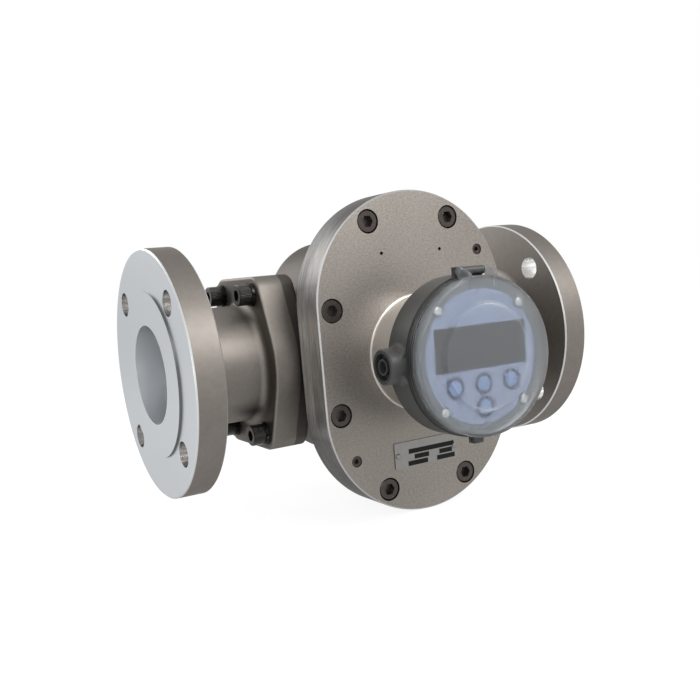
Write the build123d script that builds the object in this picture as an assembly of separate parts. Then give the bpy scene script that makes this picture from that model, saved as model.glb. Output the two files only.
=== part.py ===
from build123d import *
from bisect import bisect_left
from math import atan2, cos, hypot, radians, sin
import os

# Oval gear flow meter for a 3 inch pipeline, all sizes in millimetres.
# X runs along the pipe from the inlet face to the outlet face, the register looks along -Y, Z is up.
# The origin is the centre of the inlet flange's raised face.

# Pipe flanges, 3 inch nominal, class 150
face_to_face = 355.6
flange_diameter = 190.5
flange_thickness = 22.3
flange_edge_chamfer = 1.0
raised_face_diameter = 127.0
raised_face_height = 1.6
pipe_bore = 76.2
bolt_circle = 152.4
bolt_hole = 19.05
bolt_count = 4

# Necked adaptors, bolted to the meter body by four screws each
neck_radius = 46.0
neck_flange_fillet = 10.0
neck_pad_fillet = 6.0
pad_thickness = 20.0
pad_side_radius = 61.0
pad_corner_radius = 13.3
pad_screws_apart_y = 60.0
pad_screws_apart_z = 108.0
pad_edge_round = 2.0

# Meter body casting
port_face_setback = 1.6
port_boss_thickness = 10.9
port_boss_round = 3.0
port_duct_radius = 47.0
port_duct_fillet = 5.0
port_throat_radius = 26.0
port_taper_length = 30.0
shell_wall = 7.75
rear_wall = 11.0
rear_edge_fillet = 8.0
body_flange_thickness = 14.0
chamber_rear = 40.0

# Oval gear rotors and their fixed shafts
rotor_spacing = 76.0
rotor_long_radius = 46.0
rotor_mesh_gap = 0.3
rotor_tip_gap = 0.25
rotor_length = 121.4
rotor_end_gap = 0.3
rotor_teeth = 38
tooth_depth = 4.3
tooth_tip_share = 0.16
tooth_flank_share = 0.27
tooth_root_share = 0.33
shaft_radius = 6.0
shaft_end_chamfer = 0.6
shaft_seat_depth = 8.0
shaft_cover_seat_depth = 9.0
shaft_running_clearance = 0.05
bush_wall = 5.0
bush_length = 24.0
thrust_washer_radius = 12.5
thrust_washer_thickness = 1.4
thrust_washer_recess = 1.2
magnet_radius = 4.0
magnet_depth = 6.0
magnet_offset = 20.0

# Front cover
cover_thickness = 18.0
cover_edge_chamfer = 1.0
cover_screw_radius = 71.0
cover_edge_distance = 12.0
counterbore_diameter = 17.7
counterbore_depth = 10.3
cover_thread_engagement = 12.5
jack_hole_diameter = 8.5
dowel_diameter = 8.0
dowel_length = 18.0
dowel_depth_in_body = 9.0
plate_pin_hole_diameter = 2.6
plate_pin_hole_depth = 5.0

# Data plate
plate_width = 58.0
plate_height = 20.0
plate_thickness = 0.8
plate_corner_radius = 1.0
plate_centre_drop = 76.0
plate_pin_edge = 3.0
rivet_head_radius = 2.1
rivet_head_height = 1.2
rivet_head_round = 1.0
rivet_tip_gap = 0.5

# Fasteners and seals
pad_screw_diameter = 10.0
cover_screw_diameter = 10.0
stem_screw_diameter = 6.0
housing_screw_diameter = 4.0
facia_screw_diameter = 3.0
board_screw_diameter = 2.5
board_screw_length = 6.6
board_screw_head_radius = 2.25
board_screw_head_height = 1.4
hole_clearance = 0.5
thread_clearance = 0.05
fit_clearance = 0.03
blind_hole_spare = 1.0
cap_head_share = 0.75
cap_head_extra = 0.5
cap_head_chamfer_share = 0.05
cap_socket_share = 0.46
pan_head_round_share = 0.4
slot_width_share = 0.25
spring_washer_thickness = 2.8
spring_washer_radius = 9.0
spring_washer_split = 0.8
spring_washer_split_angle = 20.0
seal_section = 2.6
seal_groove_side_gap = 0.4
cover_seal_offset = 4.6
port_seal_offset = 5.0
stem_seal_offset = 3.6

# Register stem, a turned cup between the cover and the register
stem_radius = 43.4
stem_foot_radius = 44.3
stem_foot_height = 2.2
stem_length = 43.0
stem_wall = 5.6
stem_base_thickness = 6.0
stem_base_bore = 26.5
stem_screw_circle_radius = 32.5
stem_screw_length = 14.0
pickup_radius = 6.0
pickup_length = 22.0
pickup_floor = 4.0
pickup_collar_radius = 8.0
pickup_collar_height = 2.0
register_gasket_thickness = 1.0

# Register housing
housing_radius = 56.2
housing_front_step = 1.0
housing_depth = 29.0
housing_front_band = 6.5
housing_band_groove = 0.8
housing_front_wall = 2.6
housing_back_wall = 3.0
housing_rear_round = 2.0
cable_way_radius = 8.0
pillar_radius = 5.0
standoff_radius = 3.0
standoff_inset = 6.0
conduit_radius = 12.4
conduit_stand = 11.1
conduit_bore = 18.4
conduit_rear_flat = 1.0
conduit_face_chamfer = 1.0
conduit_root_fillet = 4.0
conduit_plug_recess = 5.0
conduit_plug_thickness = 5.0
conduit_plug_hub_radius = 5.65
conduit_plug_hub_sink = 0.3
conduit_plug_socket_radius = 4.2
seal_lug_width = 8.0
seal_lug_length = 6.5
seal_lug_drop = 5.0
seal_lug_hole = 1.8

# Register facia and what stands behind it
bezel_clearance = 0.3
bezel_rim_stand = 1.8
facia_border = 5.8
facia_ledge = 3.1
facia_thickness = 2.0
facia_stand = 2.5
facia_edge_gap = 0.15
facia_notch_radius = 1.8
facia_screw_inset = 4.4
facia_screw_pad_radius = 4.0
facia_screw_head_radius = 3.1
facia_screw_head_height = 2.2
facia_screw_length = 12.0
facia_screw_turn = 35.0
display_side_margin = 7.75
display_top_margin = 24.45
display_above_buttons = 10.35
display_frame = 2.4
display_edge_gap = 0.2
display_sink = 0.4
board_edge_gap = 1.4
board_thickness = 1.6
board_stand = 17.0
switch_body = 6.0
switch_body_height = 3.4
switch_stem_radius = 1.7
battery_radius = 7.1
battery_length = 50.0
battery_height = 16.0
battery_floor_gap = 1.5
battery_edge_round = 0.8
battery_contact_height = 1.2
cradle_thickness = 3.0
button_radius = 5.5
button_ring_gap = 1.5
button_flange_radius = 7.8
button_flange_thickness = 1.0
button_stand = 0.8
button_travel = 0.8
button_free_gap = 0.1
button_edge_round = 0.6
side_button_inset = 22.5
lower_button_inset = 11.8
button_row_spacing = 16.1

# Clear lid and its hinge
lid_step = 0.4
lid_wall = 2.2
lid_depth = 9.0
lid_seat_gap = 0.15
lid_edge_round = 1.6
window_inset = 18.8
window_rise = 3.5
window_slope = 2.0
hinge_stand = 3.3
hinge_setback = 1.5
knuckle_radius = 3.0
knuckle_half_width = 8.9
ear_gap = 0.25
ear_thickness = 2.8
ear_foot_radius = 2.4
ear_nose_radius = 3.0
ear_front_stand = 0.8
ear_front_drop = 9.5
hinge_pin_radius = 1.25
hinge_pin_cover = 0.9
hinge_pin_end_gap = 0.2
pin_running_clearance = 0.05
hinge_block_rear = 11.0
hinge_block_gap = 2.4
hinge_block_rise = 3.0
hinge_block_side = 1.4

# Places that follow from the sizes above
middle = face_to_face / 2
cover_radius = cover_screw_radius + cover_edge_distance
body_half_width = cover_radius - port_face_setback
pad_joint = middle - body_half_width
rotor_height = rotor_spacing / 2
rotor_short_radius = rotor_spacing - rotor_long_radius - rotor_mesh_gap
rotor_rear = chamber_rear - rotor_end_gap
rotor_front = rotor_rear - rotor_length
joint_face = rotor_front - rotor_end_gap
body_rear = chamber_rear + rear_wall
body_flange_rear = joint_face + body_flange_thickness
cover_face = joint_face - cover_thickness
plate_pin_half_spacing = plate_width / 2 - plate_pin_edge
stem_front = cover_face - stem_length
housing_rear = stem_front - register_gasket_thickness
housing_front = housing_rear - housing_depth
facia_front = housing_front - facia_stand
facia_rear = facia_front + facia_thickness
lid_rear = housing_front - lid_seat_gap
lid_front = lid_rear - lid_depth
board_rear = housing_rear - housing_back_wall - board_stand
board_front = board_rear - board_thickness
chamber_radius = rotor_long_radius + rotor_tip_gap
shell_radius = chamber_radius + shell_wall
housing_front_radius = housing_radius - housing_front_step
housing_inner_radius = housing_front_radius - housing_front_wall
bezel_radius = housing_inner_radius - bezel_clearance
facia_radius = bezel_radius - facia_border
bezel_inner_radius = facia_radius - facia_ledge
facia_screw_circle_radius = bezel_radius - facia_screw_inset
board_radius = bezel_inner_radius - board_edge_gap
standoff_circle_radius = board_radius - standoff_inset
lid_radius = housing_front_radius - lid_step
window_radius = lid_radius - window_inset
hinge_height = housing_front_radius + hinge_stand
conduit_reach = housing_radius + conduit_stand
lower_button_drop = facia_radius - lower_button_inset
button_row_drop = lower_button_drop - button_row_spacing
button_spacing = facia_radius - side_button_inset
display_top = facia_radius - display_top_margin
display_bottom = display_above_buttons - button_row_drop
display_width = 2 * (facia_radius - display_side_margin)
display_height = display_top - display_bottom
display_centre_height = (display_top + display_bottom) / 2
bush_radius = shaft_radius + shaft_running_clearance + bush_wall
hinge_depth = housing_front + hinge_setback
button_places = {
    "left_button": (-button_spacing, -button_row_drop),
    "middle_button": (0, -button_row_drop),
    "right_button": (button_spacing, -button_row_drop),
    "lower_button": (0, -lower_button_drop),
}


# Shapes drawn on planes that face the front, in x from the middle and z
def facing(y):
    return Plane(origin=(middle, y, 0), x_dir=(1, 0, 0), z_dir=(0, -1, 0))


def slab(outline, back, front):
    return extrude(facing(back) * outline, amount=back - front)


def disc(radius, back, front, x=0, z=0):
    return slab(Pos(x, z) * Circle(radius), back, front)


# Shapes drawn across the pipe, in y and z, and pushed along it
def across(outline, start, end):
    plane = Plane(origin=(start, 0, 0), x_dir=(0, 1, 0), z_dir=(1, 0, 0))
    return extrude(plane * outline, amount=end - start)


# A profile of radius and y turned about the register's axis
def turned(points, round_at=(), round_radius=0):
    profile = make_face(Polyline(*points, close=True))
    if round_at:
        corners = [profile.vertices().sort_by_distance(Vector(*p, 0))[0] for p in round_at]
        profile = fillet(corners, round_radius)
    plane = Plane(origin=(middle, 0, 0), x_dir=(1, 0, 0), z_dir=(0, 0, 1))
    return revolve(plane * profile, Axis((middle, 0, 0), (0, 1, 0)))


def stadium(radius):
    return Rot(0, 0, 90) * SlotCenterToCenter(rotor_spacing, 2 * radius)


def ring_places(radius, angles):
    return [(radius * cos(radians(a)), radius * sin(radians(a))) for a in angles]


def ring_corners(radius):
    return ring_places(radius, (45, 135, 225, 315))


def flange_hole_places():
    step = 360 / bolt_count
    return ring_places(bolt_circle / 2, [step * (i + 0.5) for i in range(bolt_count)])


def cover_screw_places():
    upper = [(x, z + rotor_height) for x, z in ring_places(cover_screw_radius, (0, 60, 120, 180))]
    return upper + [(x, -z) for x, z in upper]


def jack_hole_places():
    x, z = ring_places(cover_screw_radius, (30,))[0]
    return [(x, z + rotor_height), (-x, -z - rotor_height)]


def pad_screw_places():
    half_y = pad_screws_apart_y / 2
    half_z = pad_screws_apart_z / 2
    return [(y, z) for y in (-half_y, half_y) for z in (-half_z, half_z)]


# The bolted pad: one round side each way, drawn tight over four corner bosses
def pad_outline():
    rings = Circle(pad_side_radius).edges()
    for y, z in pad_screw_places():
        rings += (Pos(y, z) * Circle(pad_corner_radius)).edges()
    return make_hull(rings)


# Socket head cap screw, head above the plane it is placed on
def cap_screw(diameter, length):
    head_radius = cap_head_share * diameter + cap_head_extra
    head = extrude(Circle(head_radius), amount=diameter)
    head = chamfer(head.edges().group_by(Axis.Z)[-1], cap_head_chamfer_share * diameter)
    hexagon = RegularPolygon(cap_socket_share * diameter, 6)
    socket = Pos(0, 0, diameter / 2) * extrude(hexagon, amount=diameter)
    shank = extrude(Circle(diameter / 2), amount=-length)
    return head + shank - socket


def pan_screw(diameter, length, head_radius, head_height):
    head = extrude(Circle(head_radius), amount=head_height)
    head = fillet(head.edges().group_by(Axis.Z)[-1], pan_head_round_share * head_height)
    slot = Rectangle(2 * head_radius, slot_width_share * diameter)
    slot = Pos(0, 0, head_height / 2) * extrude(slot, amount=head_height)
    shank = extrude(Circle(diameter / 2), amount=-length)
    return head + shank - slot


def o_ring(path_radius, section, y):
    circle = Pos(path_radius, y) * Circle(section / 2)
    plane = Plane(origin=(middle, 0, 0), x_dir=(1, 0, 0), z_dir=(0, 0, 1))
    return revolve(plane * circle, Axis((middle, 0, 0), (0, 1, 0)))


# Meter body: cup with two meeting bores, a front flange and a bolted boss at each port
def meter_body():
    shell = slab(stadium(shell_radius), body_rear, joint_face)
    shell = fillet(shell.edges().group_by(Axis.Y)[-1], rear_edge_fillet)
    body = shell + slab(stadium(cover_radius), body_flange_rear, joint_face)
    for side in (-1, 1):
        body += port_boss(side)
    for z in (rotor_height, -rotor_height):
        body -= disc(chamber_radius, chamber_rear, joint_face, 0, z)
        body -= disc(shaft_radius + fit_clearance, chamber_rear + shaft_seat_depth, chamber_rear, 0, z)
        recess_floor = chamber_rear + thrust_washer_recess
        body -= disc(thrust_washer_radius + fit_clearance, recess_floor, chamber_rear, 0, z)
    for side in (-1, 1):
        body -= port_passage(side)
        for y, z in pad_screw_places():
            hole = Pos(y, z) * Circle(pad_screw_diameter / 2 + thread_clearance)
            start, end = sorted((middle + side * body_half_width, middle + side * shell_radius))
            body -= across(hole, start, end)
    for x, z in cover_screw_places():
        body -= disc(cover_screw_diameter / 2 + thread_clearance, body_flange_rear, joint_face, x, z)
    for z in dowel_heights():
        body -= disc(dowel_diameter / 2 + fit_clearance, joint_face + dowel_depth_in_body, joint_face, 0, z)
    return body - cover_seal_groove()


def dowel_heights():
    top = rotor_height + cover_screw_radius
    return (top, -top)


def port_boss(side):
    outer = middle + side * body_half_width
    inner = outer - side * port_boss_thickness
    boss = across(pad_outline(), min(outer, inner), max(outer, inner))
    boss = fillet(boss.edges().group_by(Axis.X)[0 if side > 0 else -1], port_boss_round)
    profile = make_face(Polyline(
        (outer, 0), (outer, port_duct_radius), (inner, port_duct_radius + port_duct_fillet),
        (inner - side * port_duct_fillet, port_duct_radius), (middle, port_duct_radius), (middle, 0),
        close=True))
    duct = revolve(Plane.XZ * profile, Axis.X)
    return boss + duct - keep_clear_of_duct()


# The duct stops at the shell, so nothing of it is left in front of the body flange
def keep_clear_of_duct():
    front = joint_face - 2 * port_duct_radius
    return slab(Rectangle(4 * body_half_width, 4 * port_duct_radius), joint_face, front)


def port_passage(side):
    outer = middle + side * body_half_width
    throat = outer - side * port_taper_length
    profile = make_face(Polyline(
        (outer, 0), (outer, pipe_bore / 2), (throat, port_throat_radius), (middle, port_throat_radius),
        (middle, 0), close=True))
    return revolve(Plane.XZ * profile, Axis.X)


def cover_seal_path():
    return chamber_radius + cover_seal_offset


def cover_seal_groove():
    half = seal_section / 2 + seal_groove_side_gap
    ring = stadium(cover_seal_path() + half) - stadium(cover_seal_path() - half)
    return slab(ring, joint_face + seal_section, joint_face)


def cover_seal():
    path = facing(joint_face + seal_section / 2) * stadium(cover_seal_path())
    start = (middle + cover_seal_path(), joint_face + seal_section / 2, 0)
    section = Plane(origin=start, x_dir=(1, 0, 0), z_dir=(0, 0, 1)) * Circle(seal_section / 2)
    return sweep(section, path=path.wires()[0])


# Rotor outline: an oval whose tips follow one polar curve, with the teeth cut inwards from it
def oval_radius(angle):
    flatness = (rotor_long_radius - rotor_short_radius) / (rotor_long_radius + rotor_short_radius)
    return rotor_long_radius * (1 - flatness) / (1 - flatness * cos(2 * angle))


def oval_point(angle):
    radius = oval_radius(angle)
    return radius * cos(angle), radius * sin(angle)


def oval_outline():
    steps = 1440
    angles = [radians(360) * i / steps for i in range(steps + 1)]
    points = [oval_point(a) for a in angles]
    travel = [0.0]
    for a, b in zip(points, points[1:]):
        travel.append(travel[-1] + hypot(b[0] - a[0], b[1] - a[1]))
    pitch = travel[-1] / rotor_teeth

    def at(share, depth):
        distance = (share * pitch) % travel[-1]
        i = min(max(bisect_left(travel, distance), 1), steps)
        part = (distance - travel[i - 1]) / (travel[i] - travel[i - 1])
        ax, ay = points[i - 1]
        bx, by = points[i]
        heading = atan2(by - ay, bx - ax)
        x = ax + part * (bx - ax) - depth * sin(heading)
        y = ay + part * (by - ay) + depth * cos(heading)
        return x, y

    edges = []
    for tooth in range(rotor_teeth):
        after = tooth + 1
        tip_in, tip_out = at(tooth - tooth_tip_share, 0), at(tooth + tooth_tip_share, 0)
        flank = at(tooth + tooth_flank_share, tooth_depth / 2)
        root_in = at(tooth + tooth_root_share, tooth_depth)
        root_out = at(after - tooth_root_share, tooth_depth)
        next_flank = at(after - tooth_flank_share, tooth_depth / 2)
        next_tip = at(after - tooth_tip_share, 0)
        edges.append(Line(tip_in, tip_out))
        edges.append(ThreePointArc(tip_out, flank, root_in))
        edges.append(Line(root_in, root_out))
        edges.append(ThreePointArc(root_out, next_flank, next_tip))
    return make_face(edges)


# The upper rotor stands with its long axis upright and carries the pickup magnets
def rotor(z, turn, magnets):
    body = slab(Pos(0, z) * Rot(0, 0, turn) * oval_outline(), rotor_rear, rotor_front)
    body -= disc(bush_radius + fit_clearance, rotor_rear, rotor_front, 0, z)
    if magnets:
        for dz in (magnet_offset, -magnet_offset):
            body -= disc(magnet_radius + fit_clearance, rotor_front + magnet_depth, rotor_front, 0, z + dz)
    return body


def rotor_magnets():
    places = (rotor_height + magnet_offset, rotor_height - magnet_offset)
    return [disc(magnet_radius, rotor_front + magnet_depth, rotor_front, 0, z) for z in places]


def rotor_bushes(z):
    bushes = []
    for back, front in ((rotor_rear, rotor_rear - bush_length), (rotor_front + bush_length, rotor_front)):
        bush = disc(bush_radius, back, front, 0, z)
        bushes.append(bush - disc(shaft_radius + shaft_running_clearance, back, front, 0, z))
    return bushes


def rotor_shaft(z):
    shaft = disc(shaft_radius, chamber_rear + shaft_seat_depth, joint_face - shaft_cover_seat_depth, 0, z)
    ends = shaft.edges().group_by(Axis.Y)
    return chamfer(ends[0] + ends[-1], shaft_end_chamfer)


def thrust_washers():
    washers = []
    for z in (rotor_height, -rotor_height):
        front_washer_back = joint_face - thrust_washer_recess + thrust_washer_thickness
        for back in (chamber_rear + thrust_washer_recess, front_washer_back):
            front = back - thrust_washer_thickness
            ring = disc(thrust_washer_radius, back, front, 0, z)
            washers.append(ring - disc(shaft_radius + fit_clearance, back, front, 0, z))
    return washers


# Front cover, with counterbored screws, jacking holes and a pocket for the pickup
def front_cover():
    cover = slab(stadium(cover_radius), joint_face, cover_face)
    cover = chamfer(cover.edges().group_by(Axis.Y)[0], cover_edge_chamfer)
    for x, z in cover_screw_places():
        cover -= disc(cover_screw_diameter / 2 + hole_clearance, joint_face, cover_face, x, z)
        cover -= disc(counterbore_diameter / 2, cover_face + counterbore_depth, cover_face, x, z)
    for x, z in jack_hole_places():
        cover -= disc(jack_hole_diameter / 2, joint_face, cover_face, x, z)
    for z in dowel_heights():
        depth = dowel_length - dowel_depth_in_body
        cover -= disc(dowel_diameter / 2 + fit_clearance, joint_face, joint_face - depth, 0, z)
    for z in (rotor_height, -rotor_height):
        cover -= disc(shaft_radius + fit_clearance, joint_face, joint_face - shaft_cover_seat_depth, 0, z)
        recess_floor = joint_face - thrust_washer_recess
        cover -= disc(thrust_washer_radius + fit_clearance, joint_face, recess_floor, 0, z)
    for x in (-plate_pin_half_spacing, plate_pin_half_spacing):
        for z in (plate_centre_drop, -plate_centre_drop):
            hole_radius = plate_pin_hole_diameter / 2
            cover -= disc(hole_radius, cover_face + plate_pin_hole_depth, cover_face, x, z)
    for x, z in ring_corners(stem_screw_circle_radius):
        depth = stem_screw_length - stem_base_thickness + blind_hole_spare
        cover -= disc(stem_screw_diameter / 2 + thread_clearance, cover_face + depth, cover_face, x, z)
    pocket_floor = joint_face - pickup_floor
    cover -= disc(pickup_radius + fit_clearance, pocket_floor, cover_face, 0, pickup_height())
    return cover


def pickup_height():
    return rotor_height - magnet_offset


def cover_screws():
    length = cover_thickness - counterbore_depth + cover_thread_engagement
    seat = facing(cover_face + counterbore_depth).location
    return [seat * Pos(x, z, 0) * cap_screw(cover_screw_diameter, length) for x, z in cover_screw_places()]


def cover_dowels():
    back = joint_face + dowel_depth_in_body
    return [disc(dowel_diameter / 2, back, back - dowel_length, 0, z) for z in dowel_heights()]


# Adaptor with its pipe flange on the left, drawn for the inlet and turned round for the outlet
def adaptor():
    neck_end = pad_joint - pad_thickness
    flange_back = raised_face_height + flange_thickness
    bore, rim = pipe_bore / 2, flange_diameter / 2
    pad_core = neck_radius + neck_pad_fillet + pad_edge_round
    profile = make_face(Polyline(
        (0, bore), (0, raised_face_diameter / 2), (raised_face_height, raised_face_diameter / 2),
        (raised_face_height, rim), (flange_back, rim), (flange_back, neck_radius), (neck_end, neck_radius),
        (neck_end, pad_core), (pad_joint, pad_core), (pad_joint, bore), close=True))

    def corner(x, radius):
        return profile.vertices().sort_by_distance(Vector(x, radius, 0))[0]

    profile = fillet(corner(flange_back, neck_radius), neck_flange_fillet)
    profile = fillet(corner(neck_end, neck_radius), neck_pad_fillet)
    profile = chamfer([corner(raised_face_height, rim), corner(flange_back, rim)], flange_edge_chamfer)
    body = revolve(Plane.XZ * profile, Axis.X)
    pad = across(pad_outline(), neck_end, pad_joint)
    pad = fillet(pad.edges().group_by(Axis.X)[0], pad_edge_round)
    body += pad - across(Circle(bore), neck_end, pad_joint)
    for y, z in flange_hole_places():
        body -= across(Pos(y, z) * Circle(bolt_hole / 2), 0, flange_back)
    for y, z in pad_screw_places():
        hole = Pos(y, z) * Circle(pad_screw_diameter / 2 + hole_clearance)
        body -= across(hole, neck_end, pad_joint)
    return body - port_seal_groove()


def port_seal_radius():
    return pipe_bore / 2 + port_seal_offset


def port_seal_groove():
    half = seal_section / 2 + seal_groove_side_gap
    ring = Circle(port_seal_radius() + half) - Circle(port_seal_radius() - half)
    return across(ring, pad_joint - seal_section, pad_joint)


def port_seal():
    section = Pos(pad_joint - seal_section / 2, port_seal_radius()) * Circle(seal_section / 2)
    return revolve(Plane.XZ * section, Axis.X)


def pad_seats():
    face = Plane(origin=(pad_joint - pad_thickness, 0, 0), x_dir=(0, -1, 0), z_dir=(-1, 0, 0))
    return [face.location * Pos(-y, z, 0) for y, z in pad_screw_places()]


def adaptor_washers():
    ring = Circle(spring_washer_radius) - Circle(pad_screw_diameter / 2 + hole_clearance)
    split = Rot(0, 0, spring_washer_split_angle) * Rectangle(spring_washer_radius, spring_washer_split)
    ring -= Pos(spring_washer_radius, 0) * split
    washer = extrude(ring, amount=spring_washer_thickness)
    return [seat * washer for seat in pad_seats()]


def adaptor_screws():
    length = spring_washer_thickness + pad_thickness + port_boss_thickness
    screw = Pos(0, 0, spring_washer_thickness) * cap_screw(pad_screw_diameter, length)
    return [seat * screw for seat in pad_seats()]


# The outlet side is the inlet side turned half a turn about the middle's upright axis
def at_outlet(shape):
    return shape.rotate(Axis((middle, 0, 0), (0, 0, 1)), 180)


# Register stem: a cup open to the register, screwed down through its floor
def register_stem():
    inner = stem_radius - stem_wall
    stem = turned([
        (stem_base_bore, cover_face), (stem_foot_radius, cover_face),
        (stem_foot_radius, cover_face - stem_foot_height), (stem_radius, cover_face - stem_foot_height),
        (stem_radius, stem_front), (inner, stem_front), (inner, cover_face - stem_base_thickness),
        (stem_base_bore, cover_face - stem_base_thickness)])
    for x, z in ring_corners(stem_screw_circle_radius):
        floor = cover_face - stem_base_thickness
        stem -= disc(stem_screw_diameter / 2 + hole_clearance, cover_face, floor, x, z)
    for x, z in housing_screw_places():
        depth = housing_screw_length() - register_gasket_thickness - housing_back_wall + blind_hole_spare
        stem -= disc(housing_screw_diameter / 2 + thread_clearance, stem_front + depth, stem_front, x, z)
    half = seal_section / 2 + seal_groove_side_gap
    groove = Circle(stem_seal_radius() + half) - Circle(stem_seal_radius() - half)
    return stem - slab(groove, cover_face, cover_face - seal_section)


def stem_seal_radius():
    return stem_foot_radius - stem_seal_offset


def stem_seal():
    return o_ring(stem_seal_radius(), seal_section, cover_face - seal_section / 2)


def stem_screws():
    seat = facing(cover_face - stem_base_thickness).location
    screw = cap_screw(stem_screw_diameter, stem_screw_length)
    return [seat * Pos(x, z, 0) * screw for x, z in ring_corners(stem_screw_circle_radius)]


# Pickup: a threaded probe in the cover's pocket, over the path of the magnets
def pickup_sensor():
    tip = joint_face - pickup_floor
    z = pickup_height()
    probe = disc(pickup_radius, tip, tip - pickup_length, 0, z)
    return probe + disc(pickup_collar_radius, cover_face, cover_face - pickup_collar_height, 0, z)


def housing_screw_places():
    return ring_places(stem_radius - stem_wall / 2, (0, 90, 180, 270))


def housing_screw_length():
    return housing_back_wall + register_gasket_thickness + 2 * housing_screw_diameter


def register_gasket():
    ring = Circle(stem_radius) - Circle(stem_radius - stem_wall)
    for x, z in housing_screw_places():
        ring -= Pos(x, z) * Circle(housing_screw_diameter / 2 + hole_clearance)
    return slab(ring, stem_front, housing_rear)


def housing_screws():
    seat = facing(housing_rear - housing_back_wall).location
    screw = cap_screw(housing_screw_diameter, housing_screw_length())
    return [seat * Pos(x, z, 0) * screw for x, z in housing_screw_places()]


# Register housing: a turned barrel with a grooved front band, pillars, a conduit entry and a hinge block
def register_housing():
    band = housing_front + housing_front_band
    floor = housing_rear - housing_back_wall
    third = housing_front_band / 3
    grooves = []
    for y in (band - third, band - 2 * third):
        bottom = housing_front_radius - housing_band_groove
        half = housing_band_groove / 2
        grooves += [(housing_front_radius, y + half), (bottom, y + half), (bottom, y - half)]
        grooves += [(housing_front_radius, y - half)]
    outline = [(cable_way_radius, housing_rear), (housing_radius, housing_rear), (housing_radius, band)]
    outline += [(housing_front_radius, band)] + grooves
    outline += [(housing_front_radius, housing_front), (housing_inner_radius, housing_front)]
    outline += [(housing_inner_radius, floor), (cable_way_radius, floor)]
    housing = turned(outline, [(housing_radius, housing_rear)], housing_rear_round)
    housing += conduit_boss() + hinge_block() + seal_lug()
    housing -= disc(housing_inner_radius, floor, housing_front)
    for x, z in ring_corners(facia_screw_circle_radius):
        housing += disc(pillar_radius, floor, bezel_rear(), x, z)
        hole_end = facia_screw_hole_end()
        housing -= disc(facia_screw_diameter / 2 + thread_clearance, hole_end, bezel_rear(), x, z)
    for x, z in standoff_places():
        housing += disc(standoff_radius, floor, board_rear, x, z)
        hole_end = board_rear + board_screw_length - board_thickness + blind_hole_spare
        housing -= disc(board_screw_diameter / 2 + thread_clearance, hole_end, board_rear, x, z)
    housing += battery_cradle()
    for x, z in housing_screw_places():
        housing -= disc(housing_screw_diameter / 2 + hole_clearance, housing_rear, floor, x, z)
    conduit_axis = Pos(conduit_depth(), 0)
    start = middle - conduit_reach
    bore_end = start + conduit_plug_recess + conduit_plug_thickness
    housing -= across(conduit_axis * Circle(conduit_bore / 2), start, bore_end)
    housing -= across(conduit_axis * Circle(cable_way_radius), start, middle - bezel_inner_radius)
    pin_hole = Pos(hinge_depth, hinge_height) * Circle(hinge_pin_radius + fit_clearance)
    return housing - across(pin_hole, middle - knuckle_half_width, middle + knuckle_half_width)


def bezel_rear():
    return housing_front + housing_front_band


def facia_screw_hole_end():
    return bezel_front() + facia_screw_length + blind_hole_spare


def bezel_front():
    return housing_front - bezel_rim_stand


def standoff_places():
    return ring_places(standoff_circle_radius, (60, 120, 240, 300))


def conduit_depth():
    return housing_rear - conduit_radius + conduit_rear_flat


# The entry blends into the barrel, short of the front band and of the rounded rear edge
def conduit_boss():
    axis = Pos(conduit_depth(), 0)
    start, end = middle - conduit_reach, middle - bezel_inner_radius
    boss = across(axis * Circle(conduit_radius), start, end)
    boss = chamfer(boss.edges().group_by(Axis.X)[0], conduit_face_chamfer)
    barrel = disc(housing_radius, housing_rear + conduit_radius, housing_front - conduit_radius)
    root = barrel + across(axis * Circle(conduit_radius), start, middle)
    root = fillet(root.edges().filter_by(GeomType.BSPLINE), conduit_root_fillet)
    root_start = start + conduit_face_chamfer
    root_outline = Rectangle(end - root_start, 2 * (conduit_radius + conduit_root_fillet))
    root_outline = Pos((root_start + end) / 2 - middle, 0) * root_outline
    root &= slab(root_outline, housing_rear - housing_rear_round, bezel_rear())
    return (boss & disc(2 * housing_radius, housing_rear, housing_front)) + root


def ear_reach():
    return knuckle_half_width + ear_gap + ear_thickness


def hinge_block():
    front = hinge_depth + knuckle_radius + hinge_block_gap
    rear = housing_front + hinge_block_rear
    top = hinge_height + hinge_block_rise
    half_width = knuckle_half_width + hinge_block_side
    root = housing_front_radius - housing_front_wall / 2
    block_outline = Pos((front + rear) / 2, (top + root) / 2) * Rectangle(rear - front, top - root)
    knuckle_rings = (Pos(hinge_depth, hinge_height) * Circle(knuckle_radius)).edges()
    for z in (top - knuckle_radius, root + knuckle_radius):
        knuckle_rings += (Pos(rear - knuckle_radius, z) * Circle(knuckle_radius)).edges()
    block = across(block_outline, middle - half_width, middle + half_width)
    return block + across(make_hull(knuckle_rings), middle - knuckle_half_width, middle + knuckle_half_width)


# Lug under the barrel that takes a sealing wire
def seal_lug():
    half = seal_lug_width / 2
    bottom = -housing_radius - seal_lug_drop
    back = bezel_rear() + seal_lug_length
    length = -bottom - housing_inner_radius
    outline = Pos(0, bottom + length / 2) * Rectangle(seal_lug_width, length)
    lug = slab(outline, back, bezel_rear())
    hole = Pos((back + bezel_rear()) / 2, bottom + seal_lug_drop / 2) * Circle(seal_lug_hole / 2)
    return lug - across(hole, middle - half, middle + half)


def battery_depth():
    return housing_rear - housing_back_wall - battery_floor_gap - battery_radius


def battery_cradle():
    floor = housing_rear - housing_back_wall
    cradle = None
    for x in (-battery_length / 3, battery_length / 3):
        saddle = Pos(x, battery_height) * Rectangle(cradle_thickness, 2 * battery_radius)
        rib = slab(saddle, floor, battery_depth())
        cradle = rib if cradle is None else cradle + rib
    bed = Pos(battery_depth(), battery_height) * Circle(battery_radius + fit_clearance)
    return cradle - across(bed, middle - battery_length, middle + battery_length)


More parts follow.
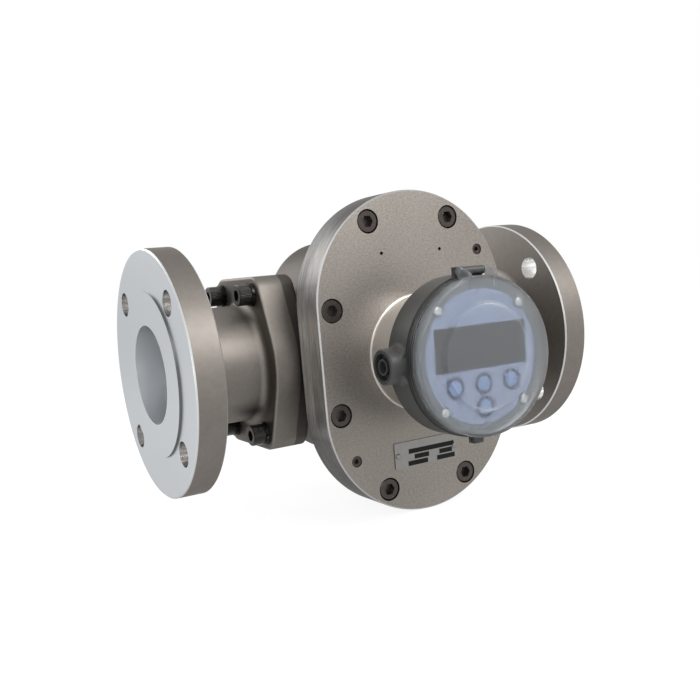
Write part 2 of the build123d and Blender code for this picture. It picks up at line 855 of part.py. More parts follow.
def battery():
    cell = Pos(battery_depth(), battery_height) * Circle(battery_radius)
    half = battery_length / 2
    body = across(cell, middle - half, middle + half)
    ends = body.edges().group_by(Axis.X)
    body = fillet(ends[0] + ends[-1], battery_edge_round)
    contact = Pos(battery_depth(), battery_height) * Circle(battery_radius / 3)
    return body + across(contact, middle, middle + half + battery_contact_height)


# Conduit plug: a threaded disc sunk in the entry, with a hollow key hub
def conduit_plug():
    axis = Pos(conduit_depth(), 0)
    face = middle - conduit_reach
    start = face + conduit_plug_recess
    plug = across(axis * Circle(conduit_bore / 2 - thread_clearance), start, start + conduit_plug_thickness)
    hub_face = face + conduit_plug_hub_sink
    plug += across(axis * Circle(conduit_plug_hub_radius), hub_face, start + conduit_plug_thickness)
    return plug - across(axis * Circle(conduit_plug_socket_radius), face, start + conduit_plug_thickness / 2)


def register_bezel():
    seat = facia_rear
    lip = facia_radius + facia_edge_gap
    bezel = turned([
        (bezel_inner_radius, bezel_rear()), (bezel_radius, bezel_rear()), (bezel_radius, bezel_front()),
        (lip, bezel_front()), (lip, seat), (bezel_inner_radius, seat)])
    for x, z in ring_corners(facia_screw_circle_radius):
        pad = disc(facia_screw_pad_radius, bezel_rear(), bezel_front(), x, z)
        bezel += pad & disc(bezel_radius, bezel_rear(), bezel_front())
        bezel -= disc(facia_screw_diameter / 2 + hole_clearance / 2, bezel_rear(), bezel_front(), x, z)
    return bezel


def facia_screws():
    seat = facing(bezel_front()).location
    head = (facia_screw_head_radius, facia_screw_head_height)
    screw = pan_screw(facia_screw_diameter, facia_screw_length, *head)
    places = ring_corners(facia_screw_circle_radius)
    return [seat * Pos(x, z, 0) * Rot(0, 0, facia_screw_turn) * screw for x, z in places]


def facia_panel():
    panel = Circle(facia_radius)
    for x, z in ring_corners(facia_screw_circle_radius):
        panel -= Pos(x, z) * Circle(facia_screw_pad_radius + bezel_clearance)
    panel -= Pos(0, display_centre_height) * Rectangle(display_width, display_height)
    for x, z in button_places.values():
        panel -= Pos(x, z) * Circle(button_radius + button_ring_gap)
    for z in (facia_radius, -facia_radius):
        panel -= Pos(0, z) * Circle(facia_notch_radius)
    return slab(panel, facia_rear, facia_front)


# Display: its frame fits inside the bezel, and its window fills the facia's opening
def display_module():
    width = display_width - 2 * display_edge_gap
    height = display_height - 2 * display_edge_gap
    place = Pos(0, display_centre_height)
    inside = Circle(bezel_inner_radius - bezel_clearance)
    frame = place * Rectangle(width + 2 * display_frame, height + 2 * display_frame)
    window = place * Rectangle(width, height)
    window_front = facia_front + display_sink
    module = slab(frame & inside, board_front, facia_rear + fit_clearance)
    module += slab(window & inside, facia_rear + fit_clearance, window_front)
    return module + slab(window, facia_rear, window_front)


def circuit_board():
    board = Circle(board_radius)
    for x, z in standoff_places():
        board -= Pos(x, z) * Circle(board_screw_diameter / 2 + hole_clearance / 2)
    return slab(board, board_rear, board_front)


# Low heads on the board stay behind the display frame
def board_screws():
    seat = facing(board_front).location
    head = (board_screw_head_radius, board_screw_head_height)
    screw = pan_screw(board_screw_diameter, board_screw_length, *head)
    return [seat * Pos(x, z, 0) * screw for x, z in standoff_places()]


def tact_switches():
    switches = []
    top = button_rear() + button_travel + button_free_gap
    for x, z in button_places.values():
        outline = Pos(x, z) * Rectangle(switch_body, switch_body)
        body = slab(outline, board_front, board_front - switch_body_height)
        switches.append(body + disc(switch_stem_radius, board_front, top, x, z))
    return switches


def button_rear():
    return facia_rear + button_free_gap + button_flange_thickness


def button(x, z):
    collar = disc(button_flange_radius, button_rear(), facia_rear + button_free_gap, x, z)
    cap = disc(button_radius, button_rear(), facia_front - button_stand, x, z)
    cap = fillet(cap.edges().group_by(Axis.Y)[0], button_edge_round)
    return cap + collar


# Clear lid: a shallow cap with a raised round window and two hinge ears
def clear_lid():
    inner = lid_radius - lid_wall
    back = lid_front + lid_wall
    base = window_radius + window_slope
    outline = [
        (0, lid_front - window_rise), (window_radius, lid_front - window_rise), (base, lid_front),
        (lid_radius, lid_front), (lid_radius, lid_rear), (inner, lid_rear), (inner, back),
        (base - lid_wall / 2, back), (window_radius - lid_wall / 2, back - window_rise),
        (0, back - window_rise)]
    lid = turned(outline, [(lid_radius, lid_front)], lid_edge_round)
    for side in (-1, 1):
        lid += lid_ear(side)
    hole = Pos(hinge_depth, hinge_height) * Circle(hinge_pin_radius + pin_running_clearance)
    reach = pin_reach() + hinge_pin_end_gap
    return lid - across(hole, middle - reach, middle + reach)


# Each ear runs from the pin over the lid's edge and a short way down its face
def lid_ear(side):
    near = middle + side * (knuckle_half_width + ear_gap)
    far = near + side * ear_thickness
    face = lid_front - ear_front_stand
    nose = Pos(face + ear_nose_radius, lid_radius) * Circle(ear_nose_radius)
    foot = Circle(ear_foot_radius)
    tail = Pos(face + ear_foot_radius, lid_radius - ear_front_drop + ear_foot_radius) * foot
    heel = Pos(lid_rear - ear_foot_radius, lid_radius - ear_foot_radius) * foot
    rings = (Pos(hinge_depth, hinge_height) * Circle(knuckle_radius)).edges()
    rings += nose.edges() + tail.edges() + heel.edges()
    ear = across(make_hull(rings), min(near, far), max(near, far))
    ear -= disc(lid_radius - lid_wall, lid_rear, lid_front + lid_wall)
    return ear - disc(housing_front_radius + ear_gap, housing_rear, lid_rear)


# The pin ends inside the ears
def pin_reach():
    return ear_reach() - hinge_pin_cover


def hinge_pin():
    pin = Pos(hinge_depth, hinge_height) * Circle(hinge_pin_radius)
    return across(pin, middle - pin_reach(), middle + pin_reach())


# Bare data plate on its two rivets
def data_plate():
    plate = RectangleRounded(plate_width, plate_height, plate_corner_radius)
    for x in (-plate_pin_half_spacing, plate_pin_half_spacing):
        plate -= Pos(x, 0) * Circle(plate_pin_hole_diameter / 2)
    return slab(Pos(0, -plate_centre_drop) * plate, cover_face, cover_face - plate_thickness)


def plate_rivets():
    rivets = []
    face = cover_face - plate_thickness
    for x in (-plate_pin_half_spacing, plate_pin_half_spacing):
        head = disc(rivet_head_radius, face, face - rivet_head_height, x, -plate_centre_drop)
        head = fillet(head.edges().group_by(Axis.Y)[0], rivet_head_round)
        length = plate_thickness + plate_pin_hole_depth - rivet_tip_gap
        shank_radius = plate_pin_hole_diameter / 2 - fit_clearance
        rivets.append(head + disc(shank_radius, face + length, face, x, -plate_centre_drop))
    return rivets


def main():
    pieces = {
        "meter_body": meter_body(),
        "front_cover": front_cover(),
        "cover_seal": cover_seal(),
        "cover_screws": cover_screws(),
        "cover_dowels": cover_dowels(),
        "inlet_adaptor": adaptor(),
        "outlet_adaptor": at_outlet(adaptor()),
        "inlet_seal": port_seal(),
        "outlet_seal": at_outlet(port_seal()),
        "adaptor_washers": adaptor_washers() + [at_outlet(w) for w in adaptor_washers()],
        "adaptor_screws": adaptor_screws() + [at_outlet(s) for s in adaptor_screws()],
        "upper_rotor": rotor(rotor_height, 90, True),
        "lower_rotor": rotor(-rotor_height, 0, False),
        "upper_rotor_bushes": rotor_bushes(rotor_height),
        "lower_rotor_bushes": rotor_bushes(-rotor_height),
        "upper_rotor_shaft": rotor_shaft(rotor_height),
        "lower_rotor_shaft": rotor_shaft(-rotor_height),
        "thrust_washers": thrust_washers(),
        "rotor_magnets": rotor_magnets(),
        "register_stem": register_stem(),
        "stem_seal": stem_seal(),
        "stem_screws": stem_screws(),
        "pickup_sensor": pickup_sensor(),
        "register_gasket": register_gasket(),
        "register_housing": register_housing(),
        "housing_screws": housing_screws(),
        "register_bezel": register_bezel(),
        "facia_panel": facia_panel(),
        "facia_screws": facia_screws(),
        "display_module": display_module(),
        "circuit_board": circuit_board(),
        "board_screws": board_screws(),
        "tact_switches": tact_switches(),
        "battery": battery(),
        "conduit_plug": conduit_plug(),
        "clear_lid": clear_lid(),
        "hinge_pin": hinge_pin(),
        "data_plate": data_plate(),
        "plate_rivets": plate_rivets(),
    }
    for name, (x, z) in button_places.items():
        pieces[name] = button(x, z)
    os.makedirs("parts", exist_ok=True)
    for name, piece in pieces.items():
        shape = Compound(children=list(piece)) if isinstance(piece, list) else piece
        export_step(shape, f"parts/{name}.step")


main()
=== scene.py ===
import bpy
import math
from mathutils import Matrix, Vector


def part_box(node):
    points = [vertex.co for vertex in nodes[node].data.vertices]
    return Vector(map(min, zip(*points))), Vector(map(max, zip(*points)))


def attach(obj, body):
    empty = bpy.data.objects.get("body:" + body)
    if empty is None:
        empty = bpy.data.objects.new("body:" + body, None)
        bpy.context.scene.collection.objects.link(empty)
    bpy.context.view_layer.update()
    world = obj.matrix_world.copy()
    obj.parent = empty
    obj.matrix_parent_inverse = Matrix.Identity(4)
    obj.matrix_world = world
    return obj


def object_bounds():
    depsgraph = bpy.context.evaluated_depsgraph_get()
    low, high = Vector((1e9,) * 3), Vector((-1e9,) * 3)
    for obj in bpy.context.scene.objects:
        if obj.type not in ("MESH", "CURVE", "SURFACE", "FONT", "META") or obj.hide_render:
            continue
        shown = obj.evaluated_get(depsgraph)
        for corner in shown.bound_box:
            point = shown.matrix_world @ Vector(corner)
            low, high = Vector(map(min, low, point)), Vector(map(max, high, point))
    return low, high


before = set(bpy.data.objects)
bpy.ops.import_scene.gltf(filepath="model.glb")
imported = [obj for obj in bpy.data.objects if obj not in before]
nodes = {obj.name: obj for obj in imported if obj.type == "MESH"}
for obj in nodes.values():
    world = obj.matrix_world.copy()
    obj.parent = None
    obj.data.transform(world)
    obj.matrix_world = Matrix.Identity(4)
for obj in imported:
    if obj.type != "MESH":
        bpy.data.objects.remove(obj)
cadLow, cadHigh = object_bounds()
scene = bpy.context.scene
print("frame loaded,", len(nodes), "pieces")

# places on the meter that the finishes need, read from the frame
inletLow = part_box("inlet_adaptor")[0]
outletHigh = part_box("outlet_adaptor")[1]
coverLow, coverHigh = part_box("front_cover")
plateLow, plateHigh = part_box("data_plate")
middleX = (inletLow.x + outletHigh.x) / 2

# a noise is given below by its scale, or by its scale, detail and roughness
# nearly all its values lie in this span
grainSpan = (0.3, 0.7)


# small helpers for node trees
def link(tree, source, target):
    tree.links.new(source, target)


def addNode(tree, kind, **settings):
    made = tree.nodes.new("ShaderNode" + kind)
    for name, value in settings.items():
        setattr(made, name, value)
    return made


def feed(tree, socket, value):
    if hasattr(value, "is_output"):
        link(tree, value, socket)
    else:
        socket.default_value = value


def calc(tree, operation, *values):
    made = addNode(tree, "Math", operation=operation)
    for socket, value in zip(made.inputs, values):
        feed(tree, socket, value)
    return made.outputs[0]


def absolute(tree, value):
    return calc(tree, "ABSOLUTE", value)


def product(tree, first, *others):
    for other in others:
        first = calc(tree, "MULTIPLY", first, other)
    return first


def distance(tree, first, second):
    squares = [product(tree, value, value) for value in (first, second)]
    return calc(tree, "SQRT", calc(tree, "ADD", *squares))


def waves(tree, value, pitch):
    return calc(tree, "SINE", product(tree, value, 2 * math.pi / pitch))


def mixNumber(tree, share, first, second):
    made = addNode(tree, "Mix", data_type="FLOAT")
    feed(tree, made.inputs[0], share)
    feed(tree, made.inputs[2], first)
    feed(tree, made.inputs[3], second)
    return made.outputs[0]


def blendColour(tree, share, first, second, **settings):
    made = addNode(tree, "Mix", data_type="RGBA", **settings)
    feed(tree, made.inputs[0], share)
    feed(tree, made.inputs[6], first)
    feed(tree, made.inputs[7], second)
    return made.outputs[2]


def spread(tree, value, low, high, newLow, newHigh):
    made = addNode(tree, "MapRange")
    for socket, amount in zip(made.inputs, (value, low, high, newLow, newHigh)):
        feed(tree, socket, amount)
    return made.outputs[0]


def fromGrain(tree, grain, newLow, newHigh):
    return spread(tree, grain, *grainSpan, newLow, newHigh)


def objectPlace(tree, move=(0, 0, 0), stretch=(1, 1, 1)):
    coords = addNode(tree, "TexCoord")
    mapping = addNode(tree, "Mapping")
    mapping.inputs["Location"].default_value = move
    mapping.inputs["Scale"].default_value = stretch
    link(tree, coords.outputs["Object"], mapping.inputs["Vector"])
    return mapping.outputs["Vector"]


def noise(tree, vector, scale, detail=2.0, roughness=0.5):
    made = addNode(tree, "TexNoise")
    link(tree, vector, made.inputs["Vector"])
    made.inputs["Scale"].default_value = scale
    made.inputs["Detail"].default_value = detail
    made.inputs["Roughness"].default_value = roughness
    return made.outputs["Fac"]


def parts(tree, vector):
    made = addNode(tree, "SeparateXYZ")
    link(tree, vector, made.inputs[0])
    return made.outputs


def normalParts(tree):
    return parts(tree, addNode(tree, "NewGeometry").outputs["True Normal"])


def bump(tree, height, depth):
    made = addNode(tree, "Bump")
    made.inputs["Strength"].default_value = 1.0
    made.inputs["Distance"].default_value = depth
    link(tree, height, made.inputs["Height"])
    return made.outputs["Normal"]


def opaque(colour, tone=1.0):
    return tuple(tone * channel for channel in colour) + (1,)


def grey(value, warm=0.0):
    return (value * (1 + warm), value, value * (1 - warm), 1)


def shader(name, colour, metallic, roughness):
    made = bpy.data.materials.new(name)
    made.use_nodes = True
    tree = made.node_tree
    surface = tree.nodes["Principled BSDF"]
    surface.inputs["Base Color"].default_value = opaque(colour)
    surface.inputs["Metallic"].default_value = metallic
    surface.inputs["Roughness"].default_value = roughness
    return made, tree, surface


def edgeTint(surface, value):
    surface.inputs["Specular Tint"].default_value = grey(value)


# bead-blasted stainless casting
blasted = {"dark": 0.143, "light": 0.222, "warm": 0.095, "roughness": (0.46, 0.58),
           "speckle": (1300, 3.0, 0.65), "blotch": 190, "blotchShare": 0.4, "cloud": (22, 3.0),
           "cloudShade": 0.12, "depth": 0.00005, "edge": 0.6}

# where the casting is machined: the pipe flanges' faces, the bore and the bolt holes; also a painted
# highlight as a light line on the flanges' edge, and painted shade on the step of the raised face
machined = {"colour": (0.63, 0.66, 0.685), "roughness": 0.33, "faceDepth": 0.0018, "stepPaintedShade": 0.2,
            "ringPitch": 0.0008, "ringHeight": 0.05,
            "flangeDepth": 0.025, "rimRadius": 0.0940, "edgeHighlight": 0.55, "edgeSlant": (0.3, 0.95)}
# the bore is given a brighter colour than the machined faces, as painted light inside it
bore = {"colour": (0.96, 0.98, 1.0), "roughness": 0.34, "radius": 0.0384}
boltHole = {"dark": 0.6, "light": 0.9, "warm": 0.03, "roughness": 0.26, "circle": 0.1524, "radius": 0.0096,
            "marks": 420, "marksStretch": (0.06, 1, 1), "marksSpan": (0.42, 0.58)}


def insideBoltHole(tree, across, up):
    offset = boltHole["circle"] / 2 * math.sqrt(0.5)
    aside = calc(tree, "SUBTRACT", absolute(tree, across), offset)
    above = calc(tree, "SUBTRACT", absolute(tree, up), offset)
    return calc(tree, "LESS_THAN", distance(tree, aside, above), boltHole["radius"])


def blastedColour(tree, grain, tone):
    place = objectPlace(tree)
    sand = fromGrain(tree, grain, 0, 1)
    shade = mixNumber(tree, blasted["blotchShare"], sand, noise(tree, place, blasted["blotch"]))
    cloud = noise(tree, place, *blasted["cloud"])
    shade = calc(tree, "ADD", shade, fromGrain(tree, cloud, -blasted["cloudShade"], blasted["cloudShade"]))
    dark, light = (grey(tone * blasted[key], blasted["warm"]) for key in ("dark", "light"))
    return blendColour(tree, shade, dark, light)


def machinedColour(tree, onStep, inBore, inHole):
    marks = noise(tree, objectPlace(tree, stretch=boltHole["marksStretch"]), boltHole["marks"])
    drilled = blendColour(tree, spread(tree, marks, *boltHole["marksSpan"], 0, 1),
                          grey(boltHole["dark"], boltHole["warm"]), grey(boltHole["light"]))
    colour = blendColour(tree, onStep, opaque(machined["colour"]), grey(machined["stepPaintedShade"]))
    colour = blendColour(tree, inBore, colour, opaque(bore["colour"]))
    return blendColour(tree, inHole, colour, drilled)


def castSteel(name, tone=1.0):
    light = grey(tone * blasted["light"], blasted["warm"])
    made, tree, surface = shader(name, light[:3], 1.0, blasted["roughness"][0])
    edgeTint(surface, blasted["edge"])
    alongPipe, across, up = parts(tree, objectPlace(tree, (-middleX, 0, 0)))
    side = absolute(tree, alongPipe)
    radius = distance(tree, across, up)
    facing = absolute(tree, normalParts(tree)[0])
    steep, flat = machined["edgeSlant"]

    onFace = calc(tree, "GREATER_THAN", side, middleX - machined["faceDepth"])
    # painted shade: the wall of the raised face's step is made dark
    onStep = product(tree, onFace, calc(tree, "LESS_THAN", facing, steep))
    inFlange = calc(tree, "GREATER_THAN", side, middleX - machined["flangeDepth"])
    inHole = product(tree, insideBoltHole(tree, across, up), inFlange)
    inBore = calc(tree, "LESS_THAN", radius, bore["radius"])
    isCut = calc(tree, "MAXIMUM", calc(tree, "MAXIMUM", onFace, inHole), inBore)
    # painted highlight: a light line on the chamfer at the flanges' edge
    onEdgeHighlight = product(tree, calc(tree, "GREATER_THAN", facing, steep), calc(tree, "LESS_THAN", facing, flat),
                     calc(tree, "GREATER_THAN", radius, machined["rimRadius"]), inFlange)

    grain = noise(tree, objectPlace(tree), *blasted["speckle"])
    rough = blendColour(tree, onEdgeHighlight, blastedColour(tree, grain, tone), grey(machined["edgeHighlight"]))
    smooth = machinedColour(tree, onStep, inBore, inHole)
    link(tree, blendColour(tree, isCut, rough, smooth), surface.inputs["Base Color"])
    cutRoughness = mixNumber(tree, inBore, machined["roughness"], bore["roughness"])
    cutRoughness = mixNumber(tree, inHole, cutRoughness, boltHole["roughness"])
    roughness = mixNumber(tree, isCut, fromGrain(tree, grain, *blasted["roughness"]), cutRoughness)
    link(tree, roughness, surface.inputs["Roughness"])
    rings = product(tree, waves(tree, radius, machined["ringPitch"]), machined["ringHeight"])
    height = mixNumber(tree, isCut, grain, rings)
    link(tree, bump(tree, height, blasted["depth"]), surface.inputs["Normal"])
    return made


# rim with the marks of the mill, and painted shade that makes it darker where it curves
rim = {"dark": 0.42, "light": 0.86, "warm": 0.03, "roughness": 0.42, "slant": 0.3, "streak": (900, 4.0, 0.75),
       "along": 0.04, "streakSpan": (0.35, 0.65), "straight": (0.030, 0.056), "curveShadeLevel": 0.24}


def millMarksAndCurveShade(tree):
    streak = noise(tree, objectPlace(tree, stretch=(rim["along"], 1, rim["along"])), *rim["streak"])
    marks = blendColour(tree, spread(tree, streak, *rim["streakSpan"], 0, 1),
                        grey(rim["dark"], rim["warm"]), grey(rim["light"], rim["warm"]))
    # painted shade: the rim is made darker where it curves than on its straight run
    height = absolute(tree, parts(tree, objectPlace(tree))[2])
    paintedCurveShade = spread(tree, height, *rim["straight"], 1, rim["curveShadeLevel"])
    return streak, blendColour(tree, 1, marks, paintedCurveShade, blend_type="MULTIPLY")


# ground cover plate, with a painted highlight: a light line on the chamfer of its front edge
ground = {"dark": 0.15, "light": 0.30, "warm": 0.095, "roughness": (0.42, 0.5), "grain": (660, 3.0, 0.65),
          "grainStretch": (0.7, 1.0, 1.2), "grainShade": (0.2, 0.8), "cloud": (14, 2.0), "cloudShade": 0.1,
          "depth": 0.00002, "edge": 0.5, "line": 0.4, "lineSlant": 0.9}


def groundCover():
    light = grey(ground["light"], ground["warm"])
    made, tree, surface = shader("groundCover", light[:3], 1.0, ground["roughness"][0])
    edgeTint(surface, ground["edge"])
    facing = absolute(tree, normalParts(tree)[1])
    onRim = calc(tree, "LESS_THAN", facing, rim["slant"])
    onHighlightLine = calc(tree, "SUBTRACT", calc(tree, "LESS_THAN", facing, ground["lineSlant"]), onRim)
    fine = noise(tree, objectPlace(tree, stretch=ground["grainStretch"]), *ground["grain"])
    cloud = noise(tree, objectPlace(tree), *ground["cloud"])
    shade = calc(tree, "ADD", fromGrain(tree, fine, *ground["grainShade"]),
                 fromGrain(tree, cloud, -ground["cloudShade"], ground["cloudShade"]))
    face = blendColour(tree, shade, grey(ground["dark"], ground["warm"]), light)
    # painted highlight on the chamfer of the front edge
    face = blendColour(tree, onHighlightLine, face, grey(ground["line"]))
    streak, milledAndCurveShaded = millMarksAndCurveShade(tree)
    link(tree, blendColour(tree, onRim, face, milledAndCurveShaded), surface.inputs["Base Color"])
    roughness = mixNumber(tree, onRim, fromGrain(tree, fine, *ground["roughness"]), rim["roughness"])
    link(tree, roughness, surface.inputs["Roughness"])
    height = mixNumber(tree, onRim, fine, streak)
    link(tree, bump(tree, height, ground["depth"]), surface.inputs["Normal"])
    return made


# the body's shell has painted shade, its casting colour at half the tone, and its flange edge has the same
# mill marks and painted curve shade as the cover's
shell = {"tone": 0.5, "flangeDepth": 0.0141}


def bodySteel():
    made = castSteel("bodySteel", shell["tone"])
    tree = made.node_tree
    baseColour = tree.nodes["Principled BSDF"].inputs["Base Color"]
    cast = baseColour.links[0].from_socket
    onRim = calc(tree, "LESS_THAN", absolute(tree, normalParts(tree)[1]), rim["slant"])
    depth = parts(tree, objectPlace(tree))[1]
    inFlange = calc(tree, "LESS_THAN", depth, coverHigh.y + shell["flangeDepth"])
    milledAndCurveShaded = millMarksAndCurveShade(tree)[1]
    link(tree, blendColour(tree, product(tree, onRim, inFlange), cast, milledAndCurveShaded), baseColour)
    return made


# black oxide screws; the pad screws' heads are knurled
# two colour pairs of the same oxide; the cover screws are given the lighter one
oxide = {"darker": ((0.008, 0.007, 0.0065), (0.032, 0.029, 0.026)),
         "lighter": ((0.035, 0.029, 0.026), (0.085, 0.071, 0.064)),
         "metallic": 0.7, "roughness": (0.22, 0.36), "grain": 2200, "depth": 0.00002}
knurl = {"halfY": 0.030, "halfZ": 0.054, "headRadius": 0.0077, "teeth": 44, "height": 1.4, "depth": 0.00006}


def knurlRidges(tree):
    place = parts(tree, objectPlace(tree))
    aside = calc(tree, "SUBTRACT", absolute(tree, place[1]), knurl["halfY"])
    above = calc(tree, "SUBTRACT", absolute(tree, place[2]), knurl["halfZ"])
    around = calc(tree, "ARCTAN2", aside, above)
    ridges = calc(tree, "SINE", product(tree, around, knurl["teeth"]))
    onHead = calc(tree, "GREATER_THAN", distance(tree, aside, above), knurl["headRadius"])
    return product(tree, ridges, onHead, knurl["height"])


def blackOxide(name, dark, light, knurled=False):
    made, tree, surface = shader(name, light, oxide["metallic"], oxide["roughness"][0])
    grain = noise(tree, objectPlace(tree), oxide["grain"])
    link(tree, blendColour(tree, grain, opaque(dark), opaque(light)), surface.inputs["Base Color"])
    link(tree, fromGrain(tree, grain, *oxide["roughness"]), surface.inputs["Roughness"])
    height = grain
    depth = oxide["depth"]
    if knurled:
        height = calc(tree, "ADD", grain, knurlRidges(tree))
        depth = knurl["depth"]
    link(tree, bump(tree, height, depth), surface.inputs["Normal"])
    return made


# turned, ground and plated metals, with fine turning marks
turned = {"pitch": 0.0005, "marks": 0.2, "grain": (1800, 3.0), "stretch": (0.2, 1, 0.2), "dark": 0.8,
          "depth": 0.00003}


def turnedMetal(name, colour, roughness, edge=0.4):
    made, tree, surface = shader(name, colour, 1.0, roughness)
    edgeTint(surface, edge)
    rings = waves(tree, parts(tree, objectPlace(tree))[1], turned["pitch"])
    grain = noise(tree, objectPlace(tree, stretch=turned["stretch"]), *turned["grain"])
    mottled = blendColour(tree, grain, opaque(colour, turned["dark"]), opaque(colour))
    link(tree, mottled, surface.inputs["Base Color"])
    height = calc(tree, "ADD", grain, product(tree, rings, turned["marks"]))
    link(tree, bump(tree, height, turned["depth"]), surface.inputs["Normal"])
    return made


# moulded plastics and rubbers, with a fine grain
moulded = {"grain": (2600, 3.0), "dark": 0.84, "light": 1.14, "smoother": 0.05, "rougher": 0.06,
           "depth": 0.00003}


def grainedPlastic(name, colour, roughness, shine=0.5):
    made, tree, surface = shader(name, colour, 0.0, roughness)
    surface.inputs["Specular IOR Level"].default_value = shine
    grain = noise(tree, objectPlace(tree), *moulded["grain"])
    mottled = blendColour(tree, grain, opaque(colour, moulded["dark"]), opaque(colour, moulded["light"]))
    link(tree, mottled, surface.inputs["Base Color"])
    varied = fromGrain(tree, grain, roughness - moulded["smoother"], roughness + moulded["rougher"])
    link(tree, varied, surface.inputs["Roughness"])
    link(tree, bump(tree, grain, moulded["depth"]), surface.inputs["Normal"])
    return made


# facia film and buttons: pale domed caps, each in a soft dark ring of painted shadow that lies on the
# button's skirt and on the film round it
film = {"colour": (0.26, 0.305, 0.43), "roughness": 0.4, "grain": (2600, 3.0), "dark": 0.9, "depth": 0.00002}
buttonNames = ("left_button", "middle_button", "right_button", "lower_button")
buttonLook = {"cap": (0.20, 0.29, 0.49), "gapShadow": (0.045, 0.062, 0.125), "roughness": 0.5,
              "capRadius": 0.0054, "soft": 0.0005, "gapShadowSpan": (0.0068, 0.0086)}


def aroundPiece(tree, name):
    low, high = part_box(name)
    centre = (low + high) / 2
    place = parts(tree, objectPlace(tree, (-centre.x, 0, -centre.z)))
    return distance(tree, place[0], place[2])


def softShader(name, colour, roughness):
    made, tree, surface = shader(name, colour, 0.0, roughness)
    grain = noise(tree, objectPlace(tree), *film["grain"])
    link(tree, bump(tree, grain, film["depth"]), surface.inputs["Normal"])
    mottled = blendColour(tree, grain, opaque(colour, film["dark"]), opaque(colour))
    return made, tree, surface, mottled


def buttonRubber(name):
    made, tree, surface, cap = softShader(name + "Rubber", buttonLook["cap"], buttonLook["roughness"])
    edge = buttonLook["capRadius"]
    soft = buttonLook["soft"]
    # painted shadow on the button's skirt round the cap
    onGapShadow = spread(tree, aroundPiece(tree, name), edge - soft, edge + soft, 0, 1)
    colour = blendColour(tree, onGapShadow, cap, opaque(buttonLook["gapShadow"]))
    link(tree, colour, surface.inputs["Base Color"])
    return made


def faciaFilm():
    made, tree, surface, colour = softShader("faciaFilm", film["colour"], film["roughness"])
    for name in buttonNames:
        # painted shadow ring on the film round each button
        gapShadowRing = spread(tree, aroundPiece(tree, name), *buttonLook["gapShadowSpan"], 1, 0)
        colour = blendColour(tree, gapShadowRing, colour, opaque(buttonLook["gapShadow"]))
    link(tree, colour, surface.inputs["Base Color"])
    return made


# frosted clear plastic of the lid
frosted = {"colour": (0.82, 0.84, 0.86), "roughness": (0.38, 0.43), "clear": 0.945, "ior": 1.17, "shine": 0.3,
           "grain": 2400, "dark": 0.94}


def clearLid():
    made, tree, surface = shader("clearLid", frosted["colour"], 0.0, frosted["roughness"][0])
    surface.inputs["Transmission Weight"].default_value = frosted["clear"]
    surface.inputs["IOR"].default_value = frosted["ior"]
    surface.inputs["Specular IOR Level"].default_value = frosted["shine"]
    grain = noise(tree, objectPlace(tree), frosted["grain"])
    link(tree, fromGrain(tree, grain, *frosted["roughness"]), surface.inputs["Roughness"])
    mottled = blendColour(tree, grain, opaque(frosted["colour"], frosted["dark"]), opaque(frosted["colour"]))
    link(tree, mottled, surface.inputs["Base Color"])
    return made


# colour, roughness and pieces of each plain metal and plastic
metals = {
    "groundSteel": ((0.6, 0.6, 0.6), 0.25, ("cover_dowels", "upper_rotor_shaft", "lower_rotor_shaft",
                                            "housing_screws", "board_screws", "hinge_pin")),
    "platedSteel": ((0.75, 0.75, 0.74), 0.3, ("facia_screws",)),
    "rotorSteel": ((0.56, 0.56, 0.55), 0.3, ("upper_rotor", "lower_rotor")),
    "sensorBrass": ((0.72, 0.55, 0.28), 0.3, ("pickup_sensor", "rotor_magnets")),
    "plateAluminium": ((0.27, 0.265, 0.255), 0.4, ("data_plate", "plate_rivets"))}
plastics = {
    "housingPlastic": ((0.029, 0.03, 0.029), 0.48, ("register_housing", "conduit_plug")),
    "bezelPlastic": ((0.12, 0.13, 0.135), 0.5, ("register_bezel",)),
    "displayGlass": ((0.018, 0.0175, 0.017), 0.4, ("display_module",)),
    "sealRubber": ((0.02, 0.02, 0.02), 0.6, ("cover_seal", "inlet_seal", "outlet_seal", "stem_seal",
                                             "register_gasket")),
    "carbonBush": ((0.05, 0.05, 0.055), 0.5, ("upper_rotor_bushes", "lower_rotor_bushes", "tact_switches")),
    "washerPlastic": ((0.8, 0.79, 0.75), 0.5, ("thrust_washers",)),
    "boardGreen": ((0.03, 0.2, 0.09), 0.35, ("circuit_board",)),
    "batterySleeve": ((0.3, 0.31, 0.33), 0.35, ("battery",))}

# the register's stem stays lighter at its edge than the other metals
stem = {"colour": (0.80, 0.78, 0.75), "roughness": 0.34, "edge": 0.7}


def setMaterial(material, *names):
    for name in names:
        mesh = nodes[name].data
        mesh.materials.clear()
        mesh.materials.append(material)
        mesh.polygons.foreach_set("material_index", [0] * len(mesh.polygons))


setMaterial(castSteel("castSteel"), "inlet_adaptor", "outlet_adaptor")
setMaterial(bodySteel(), "meter_body")
setMaterial(groundCover(), "front_cover")
setMaterial(blackOxide("blackOxide", *oxide["darker"]), "adaptor_washers", "stem_screws")
setMaterial(blackOxide("knurledOxide", *oxide["darker"], knurled=True), "adaptor_screws")
setMaterial(blackOxide("lighterOxide", *oxide["lighter"]), "cover_screws")
setMaterial(turnedMetal("turnedAluminium", **stem), "register_stem")
for finishName, (finishColour, finishRoughness, finishPieces) in metals.items():
    setMaterial(turnedMetal(finishName, finishColour, finishRoughness), *finishPieces)
for finishName, (finishColour, finishRoughness, finishPieces) in plastics.items():
    setMaterial(grainedPlastic(finishName, finishColour, finishRoughness), *finishPieces)
setMaterial(faciaFilm(), "facia_panel")
for buttonName in buttonNames:
    setMaterial(buttonRubber(buttonName), buttonName)
setMaterial(clearLid(), "clear_lid")
print("finishes given to every piece")


